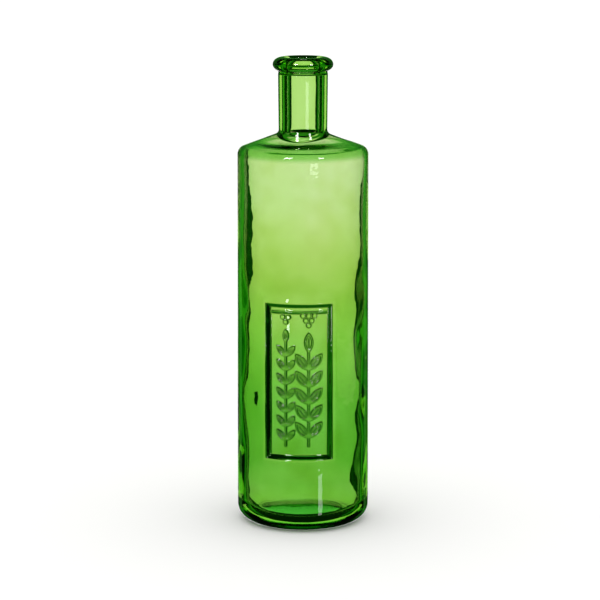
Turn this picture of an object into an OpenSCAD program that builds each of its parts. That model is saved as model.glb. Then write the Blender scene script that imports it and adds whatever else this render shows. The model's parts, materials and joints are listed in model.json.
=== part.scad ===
// Tall round decorative glass bottle, one litre, with a bead lip for a stopper
// and a sunken label panel that carries two moulded herb sprigs.
// The real bottle is one moulded piece of glass. Each node here is one zone of it,
// cut at the levels a glassmaker names: lip, neck, shoulder, body, heel and punt.
// Frame: millimetres, +Z up, origin on the ground at the bottle's axis.
// The label panel is centred on -Y.

/* [Body] */
// Overall height, from the ground to the top of the lip
total_h = 290; // [270:1:320]
// Diameter just above the heel
foot_d = 82.4; // [80:0.2:88]
// Diameter just below the shoulder corner; the mould has a slight draft
shoulder_d = 80.8; // [78:0.2:84]
// Thickness of the side wall above the heel; the glass gathers low in the mould
foot_wall = 5.4; // [4:0.2:6]
// Thickness of the side wall under the shoulder, and of the shoulder itself
shoulder_wall = 3.4; // [3:0.2:4]
// Radius of the rounded shoulder corner
corner_r = 5; // [4:0.5:8]
// Slope of the shoulder above the horizontal, in degrees
shoulder_slope = 20.6; // [15:0.2:25]

/* [Heel and punt] */
// Radius of the rounded heel
heel_r = 10; // [8:0.5:12]
// Inner radius of the flat ring that the bottle stands on
bearing_r = 26; // [22:0.5:28]
// Height of the push-up under the base, at the axis
punt_h = 4; // [2:0.5:6]
// Thickness of the base over the bearing ring
base_t = 5; // [4.5:0.5:8]
// How far the inside floor rises from the corner to the axis
floor_rise = 3; // [2:0.5:4]

/* [Neck and lip] */
// Diameter of the neck where it leaves the shoulder
neck_d = 30; // [28:0.5:32]
// Diameter of the neck under the lip
neck_top_d = 30.8; // [30:0.2:33]
// Height of the neck and lip together, above the shoulder cone
neck_h = 46.4; // [40:0.2:55]
// Radius of the fillet between shoulder and neck
neck_root_r = 3; // [2:0.5:5]
// Bore of the neck, which takes a stopper
bore_d = 20; // [17:0.5:21]
// Radius of the inside edge where the bore opens into the body
bore_root_r = 4; // [3:0.5:6]
// Diameter of the bead lip
lip_d = 37.3; // [36:0.1:39]
// Height of the bead lip
lip_h = 9; // [8:0.5:10]
// Radius of the inside edge of the mouth
mouth_r = 2; // [1:0.25:2.5]

/* [Label panel] */
// Angle that the sunken panel covers round the body, over its rim
panel_angle = 60; // [50:1:66]
// Height of the bottom rim of the panel above the ground
panel_z = 46.5; // [40:0.5:60]
// Height of the panel, over its rim
panel_h = 97; // [90:1:110]
// Radius of the panel floor about the bottle's axis
panel_floor_r = 38.4; // [38.2:0.1:39]
// How far the panel's border slopes in, from rim to floor
panel_slope_w = 2.6; // [1.5:0.1:3]
// Width of the plain glass round the rim that belongs to the panel's zone
panel_margin = 2; // [1:0.5:4]
// How far the moulded relief stands off the panel floor
relief_h = 1; // [0.5:0.1:1.4]
// Width of the relief's raised lines
line_w = 1.2; // [0.8:0.1:1.6]

/* [Small sprig] */
// Sideways place of the stem on the panel
small_x = -8; // [-9:0.1:-7]
// Length of the stem
small_stem = 66; // [50:1:68]
// Number of leaf pairs
small_pairs = 7; // [3:1:8]
// Length of each leaf
small_leaf = 8.5; // [6:0.5:9]

/* [Large sprig] */
// Sideways place of the stem on the panel
large_x = 6; // [5:0.1:7]
// Length of the stem
large_stem = 60; // [40:1:62]
// Number of leaf pairs
large_pairs = 5; // [3:1:5]
// Length of each leaf
large_leaf = 12.5; // [9:0.5:12.5]

/* [Berries] */
// Radius of a berry
berry_r = 1.5; // [1:0.1:1.6]

/* [Hidden] */
glass = [0.33, 0.72, 0.18, 0.75];
$fn = 96;

foot_r = foot_d / 2;
shoulder_r = shoulder_d / 2;
neck_r = neck_d / 2;
neck_top_r = neck_top_d / 2;
bore_r = bore_d / 2;

// Levels, from the top down.
lip_z = total_h - lip_h;
cone_top_z = total_h - neck_h;
neck_z = cone_top_z + neck_root_r;

// The shoulder corner is an arc, tangent to the side and to the shoulder cone.
corner_in = shoulder_r - corner_r;
cone_r = corner_in + corner_r * sin(shoulder_slope);
cone_z = cone_top_z - (cone_r - neck_r) * tan(shoulder_slope);
corner_z = cone_z - corner_r * cos(shoulder_slope);

// The inside follows the outside at the wall's thickness.
inner_foot_r = foot_r - foot_wall;
inner_shoulder_r = shoulder_r - shoulder_wall;
inner_corner_r = corner_r;
inner_corner_in = inner_shoulder_r - inner_corner_r;
inner_cone_r = inner_corner_in + inner_corner_r * sin(shoulder_slope);
inner_drop = shoulder_wall / cos(shoulder_slope);
inner_cone_z = cone_top_z - inner_drop - (inner_cone_r - neck_r) * tan(shoulder_slope);
inner_corner_z = inner_cone_z - inner_corner_r * cos(shoulder_slope);
bore_root_z = cone_top_z - inner_drop + (neck_r - bore_r) * tan(shoulder_slope);
inner_heel_r = heel_r - 1;

body_z = base_t + inner_heel_r + 1;
shoulder_z = inner_corner_z - 1;
far = 2 * total_h;

// The lowest point of both stems above the panel's bottom rim, and the clear glass under the berries.
sprig_y = 8;
berry_gap = 1.5;

// Radius of the circle that spans 2 * half_chord and rises by sagitta.
function arc_radius(half_chord, sagitta) = (half_chord * half_chord + sagitta * sagitta) / (2 * sagitta);

// Length of each side that a hollow fillet takes up, between the shoulder's slope and the wall above it.
function fillet_reach(radius) = radius * tan(45 - shoulder_slope / 2);
function fillet_centre(corner, radius) = corner + [radius, fillet_reach(radius)];

// The three points that leave room for such a fillet at `corner`: on the slope, at its centre, on the wall.
function fillet_points(corner, radius) = [
    corner + fillet_reach(radius) * [cos(shoulder_slope), -sin(shoulder_slope)],
    fillet_centre(corner, radius),
    corner + [0, fillet_reach(radius)]];

// Half section of the bottle as if it were solid: radius across, height up.
module outer_section() {
    root = [neck_r, cone_top_z];
    bead = [lip_d / 2 - lip_h / 2, lip_z + lip_h / 2];
    mouth = [bore_r + mouth_r, total_h - mouth_r];
    difference() {
        polygon(concat(
            [[0, 0], [foot_r - heel_r, 0], [foot_r - heel_r, heel_r], [foot_r, heel_r],
             [shoulder_r, corner_z], [corner_in, corner_z], [cone_r, cone_z]],
            fillet_points(root, neck_root_r),
            [[neck_top_r, bead[1]], bead, [bead[0], total_h],
             [mouth[0], total_h], mouth, [0, mouth[1]]]));
        translate(fillet_centre(root, neck_root_r)) circle(r = neck_root_r);
    }
    translate([foot_r - heel_r, heel_r]) intersection() {
        circle(r = heel_r);
        translate([0, -heel_r]) square(heel_r);
    }
    translate([corner_in, corner_z]) intersection() {
        circle(r = corner_r);
        square(corner_r);
    }
    translate(bead) intersection() {
        circle(r = lip_h / 2);
        translate([0, -lip_h / 2]) square([lip_h / 2, lip_h]);
    }
    translate(mouth) circle(r = mouth_r);
}

// Half section of the space inside, from the floor out through the mouth.
module cavity_section() {
    root = [bore_r, bore_root_z];
    floor_r = arc_radius(inner_foot_r - inner_heel_r, floor_rise);
    difference() {
        polygon(concat(
            [[0, base_t], [inner_foot_r - inner_heel_r, base_t],
             [inner_foot_r - inner_heel_r, base_t + inner_heel_r],
             [inner_foot_r, base_t + inner_heel_r],
             [inner_shoulder_r, inner_corner_z], [inner_corner_in, inner_corner_z],
             [inner_cone_r, inner_cone_z]],
            fillet_points(root, bore_root_r),
            [[bore_r, total_h + 1], [0, total_h + 1]]));
        translate(fillet_centre(root, bore_root_r)) circle(r = bore_root_r);
        translate([0, base_t + floor_rise - floor_r]) circle(r = floor_r, $fn = 360);
    }
    translate([inner_foot_r - inner_heel_r, base_t + inner_heel_r]) intersection() {
        circle(r = inner_heel_r);
        translate([0, -inner_heel_r]) square(inner_heel_r);
    }
    translate([inner_corner_in, inner_corner_z]) intersection() {
        circle(r = inner_corner_r);
        square(inner_corner_r);
    }
}

// Half section of the push-up under the base.
module punt_section() {
    dome_r = arc_radius(bearing_r, punt_h);
    translate([0, punt_h - dome_r]) circle(r = dome_r, $fn = 360);
}

module glass_section() {
    difference() {
        outer_section();
        cavity_section();
        punt_section();
    }
}

// The glass between two levels and two radii, turned round the axis.
module glass_zone(z0, z1, r0 = 0, r1 = far) {
    rotate_extrude() intersection() {
        glass_section();
        translate([r0, z0]) square([r1 - r0, z1 - z0]);
    }
}

// Wedge of space that opens towards -Y from the axis and holds the panel with its margin.
module panel_wedge() {
    half = panel_angle / 2 + asin(panel_margin / foot_r);
    reach = 2 * foot_r;
    translate([0, 0, panel_z - panel_margin]) linear_extrude(panel_h + 2 * panel_margin)
        polygon([[0, 0], [-reach * tan(half), -reach], [reach * tan(half), -reach]]);
}

// Space of the sunken panel. Its top and bottom slope with the section, its sides with the plan.
module panel_recess() {
    half = panel_angle / 2;
    floor_half = half - asin(panel_slope_w / foot_r);
    rim = foot_r * [sin(half), -cos(half)];
    inner = panel_floor_r * [sin(floor_half), -cos(floor_half)];
    outer = rim + 2 * (rim - inner);
    front = [outer[0], -2 * foot_r];
    intersection() {
        linear_extrude(total_h)
            polygon([[0, 0], inner, outer, front,
                     [-front[0], front[1]], [-outer[0], outer[1]], [-inner[0], inner[1]]]);
        rotate_extrude() polygon([
            [panel_floor_r, panel_z + panel_slope_w],
            [foot_r, panel_z], [foot_r + 1, panel_z],
            [foot_r + 1, panel_z + panel_h], [foot_r, panel_z + panel_h],
            [panel_floor_r, panel_z + panel_h - panel_slope_w]]);
    }
}

module lip() {
    color(glass) glass_zone(lip_z, total_h);
}

module neck() {
    color(glass) glass_zone(neck_z, lip_z);
}

module shoulder() {
    color(glass) glass_zone(shoulder_z, neck_z);
}

module body_wall() {
    color(glass) difference() {
        glass_zone(body_z, shoulder_z);
        panel_wedge();
    }
}

module label_panel() {
    color(glass) difference() {
        intersection() {
            glass_zone(body_z, shoulder_z);
            panel_wedge();
        }
        panel_recess();
    }
}

module heel() {
    color(glass) glass_zone(0, body_z, r0 = bearing_r);
}

module punt() {
    color(glass) glass_zone(0, body_z, r1 = bearing_r);
}

// Lens between two equal arcs, from the origin along +Y.
module lens(length, width) {
    arc_r = arc_radius(length / 2, width / 2);
    translate([0, length / 2]) intersection() {
        translate([arc_r - width / 2, 0]) circle(r = arc_r);
        translate([width / 2 - arc_r, 0]) circle(r = arc_r);
    }
}

// Leaf drawn as a raised outline with a midrib.
module leaf(length) {
    width = 0.42 * length;
    difference() {
        lens(length, width);
        translate([0, 1.6 * line_w]) lens(length - 3.2 * line_w, width - 1.6 * line_w);
    }
    translate([-0.3 * line_w, line_w]) square([0.6 * line_w, 0.62 * length]);
}

// Straight stem with leaves in pairs and one more at its tip, from the origin along +Y.
module sprig(stem, pairs, leaf_length) {
    spread = 38;
    step = (stem - 0.55 * leaf_length) / pairs;
    translate([-line_w / 2, 0]) square([line_w, stem]);
    for (i = [0 : pairs - 1], side = [-1, 1])
        translate([side * 0.3 * line_w, 0.45 * leaf_length + i * step])
            rotate(-side * spread) leaf(leaf_length);
    translate([0, stem - line_w]) leaf(leaf_length);
}

// Cluster of round berries in rows of one, two, three and so on, from the lowest one up.
module berry_cluster(rows) {
    pitch = 2.3 * berry_r;
    for (row = [0 : rows - 1], i = [0 : row])
        translate([(i - row / 2) * pitch, row * pitch * cos(30)]) circle(r = berry_r);
}

// Raises a drawing, in panel coordinates from the middle of its bottom rim, off the panel floor.
module on_panel() {
    intersection() {
        translate([0, 0, panel_z]) rotate([90, 0, 0]) linear_extrude(foot_r) children();
        difference() {
            cylinder(r = panel_floor_r + relief_h, h = total_h);
            translate([0, 0, -1]) cylinder(r = panel_floor_r, h = total_h + 2);
        }
    }
}

module small_sprig() {
    color(glass) on_panel() translate([small_x, sprig_y]) sprig(small_stem, small_pairs, small_leaf);
}

module large_sprig() {
    color(glass) on_panel() translate([large_x, sprig_y]) sprig(large_stem, large_pairs, large_leaf);
}

// One cluster hangs over the tip of each sprig.
module berries() {
    rise = 2 * berry_r + berry_gap - line_w;
    color(glass) on_panel() {
        translate([small_x, sprig_y + small_stem + small_leaf + rise]) berry_cluster(2);
        translate([large_x, sprig_y + large_stem + large_leaf + rise]) berry_cluster(3);
    }
}

lip();
neck();
shoulder();
body_wall();
label_panel();
heel();
punt();
small_sprig();
large_sprig();
berries();
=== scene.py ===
import json
import math

import bpy
import numpy as np
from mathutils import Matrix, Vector, noise

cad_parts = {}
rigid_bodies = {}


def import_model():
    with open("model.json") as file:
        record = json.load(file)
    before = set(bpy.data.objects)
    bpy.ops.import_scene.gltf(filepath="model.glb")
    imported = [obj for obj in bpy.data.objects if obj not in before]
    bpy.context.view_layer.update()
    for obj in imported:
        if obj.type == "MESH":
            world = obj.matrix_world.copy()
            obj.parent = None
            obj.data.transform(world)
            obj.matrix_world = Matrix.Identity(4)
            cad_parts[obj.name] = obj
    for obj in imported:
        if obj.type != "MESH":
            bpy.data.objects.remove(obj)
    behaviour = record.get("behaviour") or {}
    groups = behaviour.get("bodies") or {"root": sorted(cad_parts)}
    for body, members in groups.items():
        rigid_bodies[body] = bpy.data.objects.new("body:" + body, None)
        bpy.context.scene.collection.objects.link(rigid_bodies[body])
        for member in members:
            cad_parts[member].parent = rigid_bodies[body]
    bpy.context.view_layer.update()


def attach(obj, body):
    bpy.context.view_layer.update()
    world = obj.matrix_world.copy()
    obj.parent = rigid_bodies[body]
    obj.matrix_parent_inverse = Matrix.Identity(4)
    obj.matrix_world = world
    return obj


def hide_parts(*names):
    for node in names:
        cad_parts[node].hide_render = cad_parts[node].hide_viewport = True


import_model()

bpy.ops.object.select_all(action="DESELECT")


# Camera. A long lens looks slightly down on the bottle from a little to the right of the
# label panel's middle, so that the panel shows turned to the left.

camera_distance = 1.433
camera_height = 0.403
camera_azimuth = math.radians(3.75)
camera_pitch = math.radians(10.44)
camera_aim_left = math.radians(0.073)
lens_mm, sensor_mm = 140.5, 36

bpy.ops.object.camera_add(
    location=(camera_distance * math.sin(camera_azimuth),
              -camera_distance * math.cos(camera_azimuth),
              camera_height),
    rotation=(math.pi / 2 - camera_pitch, 0, camera_azimuth + camera_aim_left))
camera = bpy.context.object
camera.name = "camera"
camera.data.lens = lens_mm
camera.data.sensor_width = sensor_mm
bpy.context.scene.camera = camera
bpy.context.scene.view_settings.view_transform = "Standard"


# Floor. A plain sheet of matt white paper, larger than the view. The glass neither shows nor
# mirrors it, as if the bottle stood on a clear stand over a light table.

MM = 0.001
floor_size = 12
floor_drop = 0.05 * MM


def linear(hex_colour):
    """An sRGB hex colour as linear red, green, blue and alpha."""
    parts = [int(hex_colour[i:i + 2], 16) / 255 for i in (0, 2, 4)]
    return [p / 12.92 if p <= 0.04045 else ((p + 0.055) / 1.055) ** 2.4 for p in parts] + [1]


def add_node(tree, kind, settings={}, links={}):
    """Adds a node with its settings, which are properties or sockets, and links its sockets."""
    node = tree.nodes.new(kind)
    for name, value in settings.items():
        if isinstance(name, str) and hasattr(node, name):
            setattr(node, name, value)
        else:
            node.inputs[name].default_value = value
    for name, output in links.items():
        tree.links.new(output, node.inputs[name])
    return node


bpy.ops.mesh.primitive_plane_add(size=floor_size, location=(0, 0, -floor_drop))
floor = bpy.context.object
floor.name = "floor"
floor.visible_transmission = False
floor.visible_glossy = False
paper = bpy.data.materials.new("matt_white_paper")
paper.use_nodes = True
paper.node_tree.nodes.clear()
matt_white = add_node(paper.node_tree, "ShaderNodeBsdfDiffuse", {"Color": linear("F8F8F6")})
add_node(paper.node_tree, "ShaderNodeOutputMaterial", links={"Surface": matt_white.outputs[0]})
floor.data.materials.append(paper)


# Studio. Soft white light from all round falls on the floor. The glass sees a white backdrop
# and deep green cards round it, which draw its edges, and softboxes make its highlights. Cards
# and softboxes are fixed to the camera, as when a bottle turns on a turntable.

room_light = 1.15
room_in_glass = linear("46953F")
room_mirrored = linear("0A1F08")
look_at = Vector((0, 0, 0.145))
ahead = Vector((-math.sin(camera_azimuth), math.cos(camera_azimuth), 0))
right = Vector((math.cos(camera_azimuth), math.sin(camera_azimuth), 0))
backdrop_distance, card_gap = 3.0, 0.02
softbox_distance = 1.5
rig = []

world = bpy.data.worlds.new("studio")
bpy.context.scene.world = world
world.use_nodes = True
tree = world.node_tree
tree.nodes.clear()
ray = add_node(tree, "ShaderNodeLightPath")
on_floor = add_node(tree, "ShaderNodeMath", {"operation": "ADD", "use_clamp": True},
                    {0: ray.outputs["Is Camera Ray"], 1: ray.outputs["Is Diffuse Ray"]})
from_glass = add_node(tree, "ShaderNodeMix",
                      {"data_type": "RGBA", 6: room_in_glass, 7: room_mirrored},
                      {0: ray.outputs["Is Glossy Ray"]})
room_colour = add_node(tree, "ShaderNodeMix",
                       {"data_type": "RGBA", 7: (room_light, room_light, room_light, 1)},
                       {0: on_floor.outputs[0], 6: from_glass.outputs[2]})
room = add_node(tree, "ShaderNodeBackground", links={"Color": room_colour.outputs[2]})
add_node(tree, "ShaderNodeOutputWorld", links={"Surface": room.outputs[0]})


# The cards glow with their colours: they are light that only the glass sees and shows in its edges.
def card(name, distance, sides, heights, colours):
    """An upright card that only the glass sees, between two angles to the side and two of
    height, in degrees. Its colours are pairs of a share of its height and a hex colour."""
    x0, x1 = (distance * math.tan(math.radians(a)) for a in sides)
    z0, z1 = (distance * math.tan(math.radians(a)) for a in heights)
    middle = look_at + ahead * distance + right * (x0 + x1) / 2 + Vector((0, 0, (z0 + z1) / 2))
    upright = (math.pi / 2, 0, camera_azimuth)
    bpy.ops.mesh.primitive_plane_add(size=1, location=middle, rotation=upright)
    sheet = bpy.context.object
    sheet.name = name
    sheet.scale = (x1 - x0, z1 - z0, 1)
    sheet.visible_camera = sheet.visible_diffuse = sheet.visible_shadow = False
    finish = bpy.data.materials.new(name)
    finish.use_nodes = True
    tree = finish.node_tree
    tree.nodes.clear()
    place = add_node(tree, "ShaderNodeTexCoord").outputs["Object"]
    up = add_node(tree, "ShaderNodeSeparateXYZ", links={0: place}).outputs["Y"]
    share_up = add_node(tree, "ShaderNodeMath", {"operation": "ADD", 1: 0.5}, {0: up})
    paint = add_node(tree, "ShaderNodeValToRGB", links={0: share_up.outputs[0]})
    for share, _ in colours[1:-1]:
        paint.color_ramp.elements.new(share)
    for stop, (share, colour) in zip(paint.color_ramp.elements, colours):
        stop.position = share
        stop.color = linear(colour)
    glow = add_node(tree, "ShaderNodeEmission", links={"Color": paint.outputs["Color"]})
    add_node(tree, "ShaderNodeOutputMaterial", links={"Surface": glow.outputs[0]})
    sheet.data.materials.append(finish)
    rig.append(sheet)


# The backdrop glows white and darkens to deep green at its top, a painted shadow over its upper edge.
card("backdrop", backdrop_distance, (-16, 16), (-35, 10),
     [(0, "FFFFFF"), (0.82, "FFFFFF"), (0.90, "68BC50"), (1, "0C4A08")])

# The surround: each card's half width in degrees and its colour, from the front one back.
surround = [(24, "052E03"), (34, "1F7417"), (44, "46A03A"), (66, "062C04")]
surround_heights, upper_green = (-46, 34), "3A8E30"
for number, (half, green) in enumerate(surround, 1):
    card(f"surround_{number}", backdrop_distance + card_gap * number, (-half, half),
         surround_heights, [(0, green), (0.66, green), (0.74, upper_green), (1, upper_green)])


def softbox(name, angle, rise, width, tall, light, colour="FFFFFF"):
    """A rectangular lamp aimed at the bottle, which only makes highlights. Its angle is to the
    right of the camera and its rise is above the bottle's middle, in degrees."""
    a, e = math.radians(angle), math.radians(rise)
    level = right * math.sin(a) - ahead * math.cos(a)
    place = look_at + softbox_distance * (level * math.cos(e) + Vector((0, 0, math.sin(e))))
    aim = (look_at - place).to_track_quat("-Z", "Y").to_euler()
    bpy.ops.object.light_add(type="AREA", location=place, rotation=aim)
    lamp = bpy.context.object
    lamp.name = name
    lamp.data.shape = "RECTANGLE"
    lamp.data.size, lamp.data.size_y = width, tall
    lamp.data.energy = light * math.pi * width * tall
    lamp.data.color = linear(colour)[:3]
    lamp.visible_camera = lamp.visible_diffuse = lamp.visible_transmission = False
    rig.append(lamp)


softbox("softbox_left", -29, 35, 0.30, 0.50, 20)
softbox("softbox_right", 34, 35, 0.18, 0.50, 20)
softbox("softbox_above", 180, 48, 0.12, 0.25, 1.2)
softbox("strip_left", -27, -11, 0.12, 0.06, 10)
softbox("strip_neck", 19, -2.5, 0.36, 0.07, 3.5)
softbox("strip_foot", 30, -20, 0.18, 0.12, 4)

# Three strips of falling size at one place, so that their highlight fades towards its edges.
side_width, side_tall, side_light = 1.2, 0.075, 0.5
for tenths in (10, 8, 6):
    softbox(f"strip_side_{tenths}", 84, -13.5, side_width * tenths / 10, side_tall * tenths / 10,
            side_light, "E4F4A8")

bpy.ops.object.select_all(action="DESELECT")
for thing in rig:
    thing.select_set(True)
bpy.context.view_layer.objects.active = camera
bpy.ops.object.parent_set(type="OBJECT", keep_transform=True)
bpy.ops.object.select_all(action="DESELECT")


# Glass bottle. One thick piece of yellow-green glass, blown into a mould and finished with a
# pressed bead lip. Its half section is drawn first, in millimetres, and turned round the axis.

total_h, neck_h = 290, 46.4
foot_r, shoulder_r, shoulder_z = 41.2, 40.4, 230.6
heel_r, inner_heel_r, heel_lift = 10, 9, 0.2
corner_r, inner_corner_r = 5, 3
slope = math.tan(math.radians(20.6))
foot_wall, side_wall, shoulder_wall = 5.4, 3.4, 2.6
ring_r, ring_half_w, ring_round, ring_lift = 26, 2.6, 12, 0.3
punt_h, base_t, inner_floor_r, inner_floor_edge, inner_floor_rise = 4, 5, 24, 0.6, 3
neck_r, neck_top_r, neck_root_r = 15, 15.4, 3
bore_r, bore_root_r, mouth_r = 10, 4, 2
lip_r, lip_h, bead_half_w, bead_start = 18.65, 9, 6, -58
cone_top_z, lip_z = total_h - neck_h, total_h - lip_h
neck_end_z = lip_z + 0.9

panel_z, panel_h, panel_angle = 46.5, 97, 60
panel_slope_w, panel_floor_r = 2.6, 38.4
panel_top_z = panel_z + panel_h
zone_margin, zone_step = 1.6, 1.6
zone_low_z, zone_high_z = panel_z - zone_margin, panel_top_z + zone_margin
turn_steps, arc_degrees = 160, 8
bead_points, mouth_points, punt_steps, inner_floor_steps = 22, 9, 10, 9


def rounded(corners):
    """An outline through corners given as (radius from axis, height, rounding, longest step)."""
    points = []
    for i, (r, z, rounding, step) in enumerate(corners):
        here = Vector((r, z))
        if rounding and 0 < i < len(corners) - 1:
            back = (Vector(corners[i - 1][:2]) - here).normalized()
            on = (Vector(corners[i + 1][:2]) - here).normalized()
            half = back.angle(on) / 2
            reach = rounding / math.tan(half)
            start, end = here + back * reach, here + on * reach
            centre = here + (back + on).normalized() * rounding / math.sin(half)
            sweep = (start - centre).angle(end - centre)
            pieces = max(3, round(math.degrees(sweep) / arc_degrees))
            arc = []
            for k in range(pieces + 1):
                t = k / pieces
                spoke = ((start - centre) * math.sin((1 - t) * sweep)
                         + (end - centre) * math.sin(t * sweep))
                arc.append(centre + spoke / math.sin(sweep))
        else:
            arc = [here]
        if points and step:
            stretch = arc[0] - points[-1]
            count = max(1, math.ceil(stretch.length / step - 0.01))
            points += [points[-1] + stretch * k / count for k in range(1, count)]
        points += arc
    return points


def dome(r0, z0, z1, steps):
    """A shallow arch from (r0, z0) to the axis at height z1."""
    radius = (r0 * r0 + (z1 - z0) ** 2) / (2 * (z1 - z0))
    sweep = math.asin(r0 / radius)
    turns = [sweep * (1 - k / steps) for k in range(steps + 1)]
    return [(radius * math.sin(t), z1 - radius * (1 - math.cos(t))) for t in turns]


def side_r(z):
    """The radius of the outer wall at a height between the heel and the shoulder."""
    return foot_r + (shoulder_r - foot_r) * (z - heel_r) / (shoulder_z - heel_r)


corner_top_z = cone_top_z - (shoulder_r - neck_r) * slope
inner_top_z = cone_top_z - shoulder_wall / math.cos(math.atan(slope)) + (neck_r - bore_r) * slope
inner_foot_r, inner_shoulder_r = foot_r - foot_wall, shoulder_r - side_wall
inner_corner_z = inner_top_z - (inner_shoulder_r - bore_r) * slope
inner_floor_z = base_t + inner_floor_edge

outside = rounded([
    (ring_r, ring_lift, 0, 0),
    (ring_r + ring_half_w, 0, ring_round, 1),
    (foot_r, heel_lift, heel_r, 1.5),
    (side_r(zone_low_z), zone_low_z, 0, 3.5),
    (side_r(zone_high_z), zone_high_z, 0, zone_step),
    (shoulder_r, corner_top_z, corner_r, 3.5),
    (neck_r, cone_top_z, neck_root_r, 3),
    (neck_top_r, neck_end_z, 0, 3)])
bead = [(lip_r - bead_half_w + bead_half_w * math.cos(a),
         lip_z + lip_h / 2 + lip_h / 2 * math.sin(a))
        for a in np.radians(np.linspace(bead_start, 90, bead_points))]
mouth = [(bore_r + mouth_r - mouth_r * math.sin(a), total_h - mouth_r + mouth_r * math.cos(a))
         for a in np.radians(np.linspace(0, 90, mouth_points))]
inside = rounded([
    (bore_r, total_h - mouth_r, 0, 0),
    (bore_r, inner_top_z, bore_root_r, 1.5),
    (inner_shoulder_r, inner_corner_z, inner_corner_r, 0.8),
    (inner_foot_r, base_t, inner_heel_r, 4),
    (inner_floor_r, inner_floor_z, 0, 3)])
punt = list(reversed(dome(ring_r, ring_lift, punt_h, punt_steps)))
inner_floor = dome(inner_floor_r, inner_floor_z, base_t + inner_floor_rise, inner_floor_steps)
half_section = punt[:-1] + outside + bead + mouth[:-1] + inside + inner_floor[1:]

bpy.ops.mesh.primitive_plane_add(size=MM)
glass = bpy.context.object
glass.name = "glass_bottle"
bpy.ops.object.mode_set(mode="EDIT")
bpy.ops.mesh.select_all(action="SELECT")
bpy.ops.mesh.merge(type="CENTER")
start = Vector((half_section[0][0], 0, half_section[0][1])) * MM
bpy.ops.transform.translate(value=start)
for before, after in zip(half_section, half_section[1:]):
    step = Vector((after[0] - before[0], 0, after[1] - before[1])) * MM
    bpy.ops.mesh.extrude_region_move(TRANSFORM_OT_translate={"value": step})
bpy.ops.mesh.select_all(action="SELECT")
bpy.ops.mesh.spin(steps=turn_steps, angle=2 * math.pi, center=(0, 0, 0), axis=(0, 0, 1))
bpy.ops.mesh.select_all(action="SELECT")
bpy.ops.mesh.remove_doubles(threshold=0.01 * MM)
bpy.ops.mesh.normals_make_consistent(inside=False)
bpy.ops.object.mode_set(mode="OBJECT")


# The blown inside. The mould shapes only the outside. Inside, the glass is thicker on one side
# than on the other and rises and falls in slow waves, and under the shoulder it thickens
# towards the neck at the front and the back. This is what bends the light in it.

core_shift = Vector((0.3, 0.2, 0))
slow_waves = {"size": (26, 26, 60), "height": 0.8}
quick_waves = {"size": (13, 13, 20), "height": 0.55}
quick_start_z, quick_full_z = 200, 130
foot_fade, shoulder_fade, bore_fade = 24, 20, 8
calm_floor_r, wavy_floor_r = 4, 26
bore_wave, mouth_calm, mouth_fade = 0.35, 4, 12
thick_outer_r, thick_inner_r, thick_h, thick_wave = 32, 13, 4.6, 0.4
thick_end_z = cone_top_z + 6
side_reach, floor_reach, top_reach, bore_reach = 0.4, 0.5, 1, 0.1


def between(low, high, x):
    """0 before low, 1 past high, and a smooth rise from one to the other."""
    t = np.clip((x - low) / (high - low), 0, 1)
    return t * t * (3 - 2 * t)


def read_points(mesh):
    """The places of a mesh's vertices in millimetres."""
    places = np.empty(len(mesh.vertices) * 3)
    mesh.vertices.foreach_get("co", places)
    return places.reshape(-1, 3) / MM


mesh = glass.data
points = read_points(mesh)
height = points[:, 2]
radius = np.hypot(points[:, 0], points[:, 1])
outward = points[:, :2] / np.maximum(radius, 1e-6)[:, None]
share_up = (height - base_t) / (inner_corner_z - base_t)
inner_side_r = inner_foot_r + (inner_shoulder_r - inner_foot_r) * share_up
is_inside = ((radius < inner_side_r + side_reach) & (height > base_t - floor_reach)
             & (height < inner_top_z + top_reach))
in_bore = (radius < bore_r + bore_reach) & (height > inner_top_z)

# Each point's share of the waves, which die away at the floor, the shoulder and the mouth.
share = (is_inside * between(base_t, base_t + foot_fade, height)
         * between(inner_top_z, inner_top_z - shoulder_fade, height)
         * between(calm_floor_r, wavy_floor_r, radius))
share += (bore_wave * in_bore * between(inner_top_z, inner_top_z + bore_fade, height)
          * between(total_h - mouth_calm, total_h - mouth_fade, height))
swell = np.zeros(len(points))
for waves, strength in ((slow_waves, 1), (quick_waves, between(quick_start_z, quick_full_z, height))):
    wave = np.array([noise.noise(point) for point in points / waves["size"]])
    swell += strength * waves["height"] * wave
points[:, 0] += share * (core_shift.x + swell * outward[:, 0])
points[:, 1] += share * (core_shift.y + swell * outward[:, 1])

# The thick glass under the shoulder hangs lowest in the middle of the front and of the back.
under_shoulder = ((radius < inner_shoulder_r) & (height > inner_corner_z)
                  & (height < thick_end_z) & (is_inside | in_bore))
facing = np.abs(points[:, 1]) / np.maximum(radius, 1e-6)
sag = thick_h * between(thick_outer_r, thick_inner_r, radius) * facing * (1 + thick_wave * swell)
points[:, 2] -= under_shoulder * sag * between(inner_top_z + bore_fade, inner_top_z, height)
mesh.vertices.foreach_set("co", (points * MM).ravel())


# Label panel. A tall sunken panel with sloping borders, pressed by the mould. Its piece of the
# outer wall is divided finely, and its points are then moved in.

zone_side_angle, zone_cuts = 1.5, 4
zone_half = math.radians(panel_angle / 2 + zone_side_angle)
outer_reach, slack, slack_angle = 1, 0.01, 0.001
border_softness = 0.09

for element in [*mesh.vertices, *mesh.edges]:
    element.select = False
for face in mesh.polygons:
    x, y, z = face.center / MM
    is_outer = math.hypot(x, y) > side_r(z) - outer_reach
    is_level = zone_low_z < z < zone_high_z
    face.select = is_outer and is_level and abs(math.atan2(x, -y)) < zone_half
bpy.ops.object.mode_set(mode="EDIT")
bpy.ops.mesh.select_mode(type="FACE")
bpy.ops.mesh.subdivide(number_cuts=zone_cuts)
bpy.ops.object.mode_set(mode="OBJECT")

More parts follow.
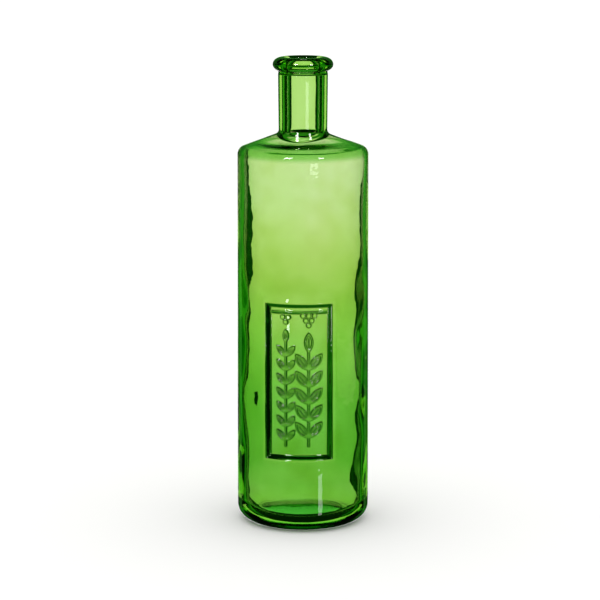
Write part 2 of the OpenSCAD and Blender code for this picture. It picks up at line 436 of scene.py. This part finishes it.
points = read_points(mesh)
height = points[:, 2]
radius = np.hypot(points[:, 0], points[:, 1])
round_angle = np.arctan2(points[:, 0], -points[:, 1])
is_outer = radius > side_r(height) - outer_reach
zone = np.where(is_outer & (abs(round_angle) < zone_half + slack_angle)
                & (height > zone_low_z - slack) & (height < zone_high_z + slack))[0]
angle, side, z = round_angle[zone], side_r(height[zone]), height[zone]
from_rim = np.minimum((math.radians(panel_angle / 2) - abs(angle)) * foot_r,
                      np.minimum(z - panel_z, panel_top_z - z))


def ramp(t, softness):
    """Rises from 0 to 1 as t does, with both ends rounded off."""
    def corner(x):
        return softness * np.logaddexp(0, x / softness)
    return corner(t) - corner(t - 1)


pressed = ramp(from_rim / panel_slope_w, border_softness)
new_r = side + (panel_floor_r - side) * pressed


# Sprigs and berries. Two herb sprigs stand up from the panel's floor as raised rounded lines,
# under two bunches of berries and a raised rule. The mould has them as engraved lines.

line_w, relief_h = 1.2, 1.0
flank_out, flank_in = -0.35, 0.45
sprig_z = panel_z + 8
sprigs = [
    {"x": -8.0, "stem": 66, "pairs": 7, "leaf": 8.5, "rows": 2},
    {"x": 6.0, "stem": 60, "pairs": 5, "leaf": 12.5, "rows": 3}]
leaf_spread = math.radians(38)
leaf_width, rib_length, top_gap, first_leaf = 0.42, 0.62, 0.55, 0.45
leaf_rim_w, rib_half_w, root_out = 1.6 * line_w, 0.3 * line_w, 0.3 * line_w
berry_r, berry_gap = 1.5, 1.5
berry_pitch = 2.3 * berry_r
rule_drop, rule_h, rule_w = 5.2, 1.0, 0.95
rule_start, rule_full = 2.4, 3.2
rule_z = panel_top_z - rule_drop
rule_ends = between(rule_start, rule_full, from_rim)


def bell(x, middle, width):
    """1 at the middle, falling off smoothly to both sides."""
    return np.exp(-((x - middle) / width) ** 2)


def lens(x, z, length, width):
    """How deep a point lies in a pointed oval that runs up from the origin."""
    arc_r = (length * length + width * width) / (4 * width)
    return arc_r - np.hypot(abs(x) + arc_r - width / 2, z - length / 2)


def leaf(x, z, length):
    """How deep a point lies in the raised outline or the midrib of a leaf."""
    width = leaf_width * length
    hollow = lens(x, z - leaf_rim_w, length - 2 * leaf_rim_w, width - leaf_rim_w)
    rim = np.minimum(lens(x, z, length, width), -hollow)
    rib = np.minimum(rib_half_w - abs(x), np.minimum(z - line_w, line_w + rib_length * length - z))
    return np.maximum(rim, rib)


def turned(x, z, at_x, at_z, turn):
    """A point's place from a leaf's root, across and along a leaf that leans by turn."""
    dx, dz = x - at_x, z - at_z
    return dx * math.cos(turn) - dz * math.sin(turn), dx * math.sin(turn) + dz * math.cos(turn)


flat_x = panel_floor_r * np.sin(angle)
depth = np.full(len(zone), -9.0)
for s in sprigs:
    top_z = sprig_z + s["stem"]
    stem = np.minimum(line_w / 2 - abs(flat_x - s["x"]), np.minimum(z - sprig_z, top_z - z))
    depth = np.maximum(depth, stem)
    spacing = (s["stem"] - top_gap * s["leaf"]) / s["pairs"]
    for i in range(s["pairs"]):
        for hand in (-1, 1):
            root_x = s["x"] + hand * root_out
            root_z = sprig_z + first_leaf * s["leaf"] + i * spacing
            leaf_x, leaf_z = turned(flat_x, z, root_x, root_z, hand * leaf_spread)
            depth = np.maximum(depth, leaf(leaf_x, leaf_z, s["leaf"]))
    depth = np.maximum(depth, leaf(flat_x - s["x"], z - top_z + line_w, s["leaf"]))
    low_berry_z = top_z + s["leaf"] + 2 * berry_r + berry_gap - line_w
    for row in range(s["rows"]):
        for i in range(row + 1):
            berry_x = s["x"] + (i - row / 2) * berry_pitch
            berry_z = low_berry_z + row * berry_pitch * math.cos(math.radians(30))
            depth = np.maximum(depth, berry_r - np.hypot(flat_x - berry_x, z - berry_z))
new_r += relief_h * between(flank_out, flank_in, depth)
new_r += rule_h * bell(z, rule_z, rule_w) * rule_ends

points[zone, 0] = new_r * np.sin(angle)
points[zone, 1] = -new_r * np.cos(angle)
mesh.vertices.foreach_set("co", (points * MM).ravel())
mesh.update()
bpy.ops.object.shade_smooth()


# Green glass. Soda-lime bottle glass, clear all through and coloured in the mass, so thin glass
# looks yellow-green and thick glass almost black-green. It is fire-polished, so it is glossy,
# with faint ripples left by the mould. A painted shade deepens its colour towards the foot.

# Painted highlights: a pale line just outside the panel and a pale band over its top.
highlight_line, highlight_line_w = -0.8, 0.7
highlight_band, highlight_band_w = 3, 2.4
highlight_band_end, highlight_band_full = math.radians(33), math.radians(27)
# Widths and share of the painted shade on the panel's borders, the rule and the relief's flanks.
border_w, rule_edge_w, flank_w, flank_share = 1.2, 1.1, 0.5, 0.7
# Painted shade, as heights in millimetres and tints: deepest low down, paler up, deep at the
# shoulder.
shade_by_height = [(19, "DCEED8"), (31, "B8E1A6"), (75, "BEE6AC"), (120, "D9F1BE"), (158, "EAF3CB"),
         (183, "FAFCEE"), (200, "FFFFFF"), (229, "FFFFFF"), (232, "A4DC8C"), (236, "A4DC8C"),
         (239, "FFFFFF")]
base_disc_r, base_disc_fade_r = 24, 28
neck_tint_z, neck_tint_full_z = 236, 244
lip_tint_z, lip_tint_full_z = 276, 281
smudge_size = 26.3
ripple_size, ripple_depth = 11.11, 0.12


def keep_on_points(name, values):
    """Stores a value for each vertex, which the material reads."""
    mesh.attributes.new(name, "FLOAT", "POINT").data.foreach_set("value", values)


# Painted highlights: the tint turns pale, as if lit, in a line just outside the panel and a band over
# its top.
highlight_paint = np.zeros(len(points))
highlight_paint[zone] = bell(from_rim, highlight_line, highlight_line_w)
over_top = bell(height, panel_top_z + highlight_band, highlight_band_w) * is_outer
over_top *= between(highlight_band_end, highlight_band_full, abs(round_angle))
keep_on_points("painted_highlight", np.maximum(highlight_paint, over_top))

# Painted shade: a deep green tint that darkens the panel's borders, the rule and the flanks
# of the relief.
painted_edge_shade = np.zeros(len(points))
border = bell(from_rim, panel_slope_w / 2, border_w)
rule = bell(z, rule_z, rule_edge_w) * rule_ends
flank = flank_share * bell(depth, (flank_out + flank_in) / 2, flank_w)
painted_edge_shade[zone] = np.maximum(border, np.maximum(rule, flank))
keep_on_points("painted_edge_shade", painted_edge_shade)

green_glass = bpy.data.materials.new("green_bottle_glass")
green_glass.use_nodes = True
tree = green_glass.node_tree
tree.nodes.clear()
place = add_node(tree, "ShaderNodeTexCoord").outputs["Object"]
up = add_node(tree, "ShaderNodeSeparateXYZ", links={0: place}).outputs["Z"]

# The tint of the light that goes through: painted shade that changes up the wall, with faint smudges,
# pale painted highlights, deep green painted shade at edges and a cool green disc in the middle of
# the base.
highest = shade_by_height[-1][0]
share_up = add_node(tree, "ShaderNodeMath", {"operation": "DIVIDE", 1: highest * MM}, {0: up})
painted_wall_shade = add_node(tree, "ShaderNodeValToRGB", links={0: share_up.outputs[0]})
for at_height, _ in shade_by_height[1:-1]:
    painted_wall_shade.color_ramp.elements.new(at_height / highest)
for stop, (at_height, colour) in zip(painted_wall_shade.color_ramp.elements, shade_by_height):
    stop.position = at_height / highest
    stop.color = linear(colour)
smudges = add_node(tree, "ShaderNodeTexNoise", {"Scale": 1 / (smudge_size * MM), "Detail": 1.5},
                   {"Vector": place})
smudge_share = add_node(tree, "ShaderNodeMapRange",
                        {"From Min": 0.5, "From Max": 0.72, "To Max": 0.8},
                        {"Value": smudges.outputs["Fac"]})
smudged = add_node(tree, "ShaderNodeMix",
                   {"data_type": "RGBA", "blend_type": "MULTIPLY", 7: linear("ECF2CC")},
                   {0: smudge_share.outputs[0], 6: painted_wall_shade.outputs["Color"]})
highlight_share = add_node(tree, "ShaderNodeAttribute", {"attribute_name": "painted_highlight"})
highlighted = add_node(tree, "ShaderNodeMix", {"data_type": "RGBA", 7: linear("FFFFFF")},
                   {0: highlight_share.outputs["Fac"], 6: smudged.outputs[2]})
edge_shade_share = add_node(tree, "ShaderNodeAttribute", {"attribute_name": "painted_edge_shade"})
edge_shaded = add_node(tree, "ShaderNodeMix", {"data_type": "RGBA", 7: linear("1E6A14")},
                 {0: edge_shade_share.outputs["Fac"], 6: highlighted.outputs[2]})
from_foot = add_node(tree, "ShaderNodeVectorMath", {"operation": "LENGTH"}, {0: place})
off_base = add_node(tree, "ShaderNodeMapRange",
                    {"From Min": base_disc_r * MM, "From Max": base_disc_fade_r * MM},
                    {"Value": from_foot.outputs["Value"]})
tint = add_node(tree, "ShaderNodeMix", {"data_type": "RGBA", 6: linear("78D88C")},
                {0: off_base.outputs[0], 7: edge_shaded.outputs[2]})

# Light that is reflected inside the glass is tinted too: most in the body, less in the neck
# and not in the lip. Reflections on the outside stay white.
in_neck = add_node(tree, "ShaderNodeMapRange",
                   {"From Min": neck_tint_z * MM, "From Max": neck_tint_full_z * MM},
                   {"Value": up})
neck_tint = add_node(tree, "ShaderNodeMix",
                     {"data_type": "RGBA", 6: linear("94F894"), 7: linear("B4F2A8")},
                     {0: in_neck.outputs[0]})
in_lip = add_node(tree, "ShaderNodeMapRange",
                  {"From Min": lip_tint_z * MM, "From Max": lip_tint_full_z * MM},
                  {"Value": up})
inner_tint = add_node(tree, "ShaderNodeMix", {"data_type": "RGBA", 7: linear("FFFFFF")},
                      {0: in_lip.outputs[0], 6: neck_tint.outputs[2]})
seen_from = add_node(tree, "ShaderNodeNewGeometry")
mirror = add_node(tree, "ShaderNodeMix", {"data_type": "RGBA", 6: linear("FFFFFF")},
                  {0: seen_from.outputs["Backfacing"], 7: inner_tint.outputs[2]})

ripples = add_node(tree, "ShaderNodeTexNoise", {"Scale": 1 / (ripple_size * MM), "Detail": 2},
                   {"Vector": place})
bump = add_node(tree, "ShaderNodeBump", {"Strength": 0.5, "Distance": ripple_depth * MM},
                {"Height": ripples.outputs["Fac"]})
surface = add_node(tree, "ShaderNodeBsdfPrincipled",
                   {"Roughness": 0, "IOR": 1.52, "Transmission Weight": 1},
                   {"Normal": bump.outputs["Normal"], "Base Color": tint.outputs[2],
                    "Specular Tint": mirror.outputs[2]})
in_the_mass = add_node(tree, "ShaderNodeVolumeAbsorption",
                       {"Color": linear("C6F633"), "Density": 150})
add_node(tree, "ShaderNodeOutputMaterial",
         links={"Surface": surface.outputs[0], "Volume": in_the_mass.outputs[0]})
glass.data.materials.append(green_glass)

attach(glass, "root")
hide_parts("lip", "neck", "shoulder", "body_wall", "label_panel", "heel", "punt",
            "small_sprig", "large_sprig", "berries")
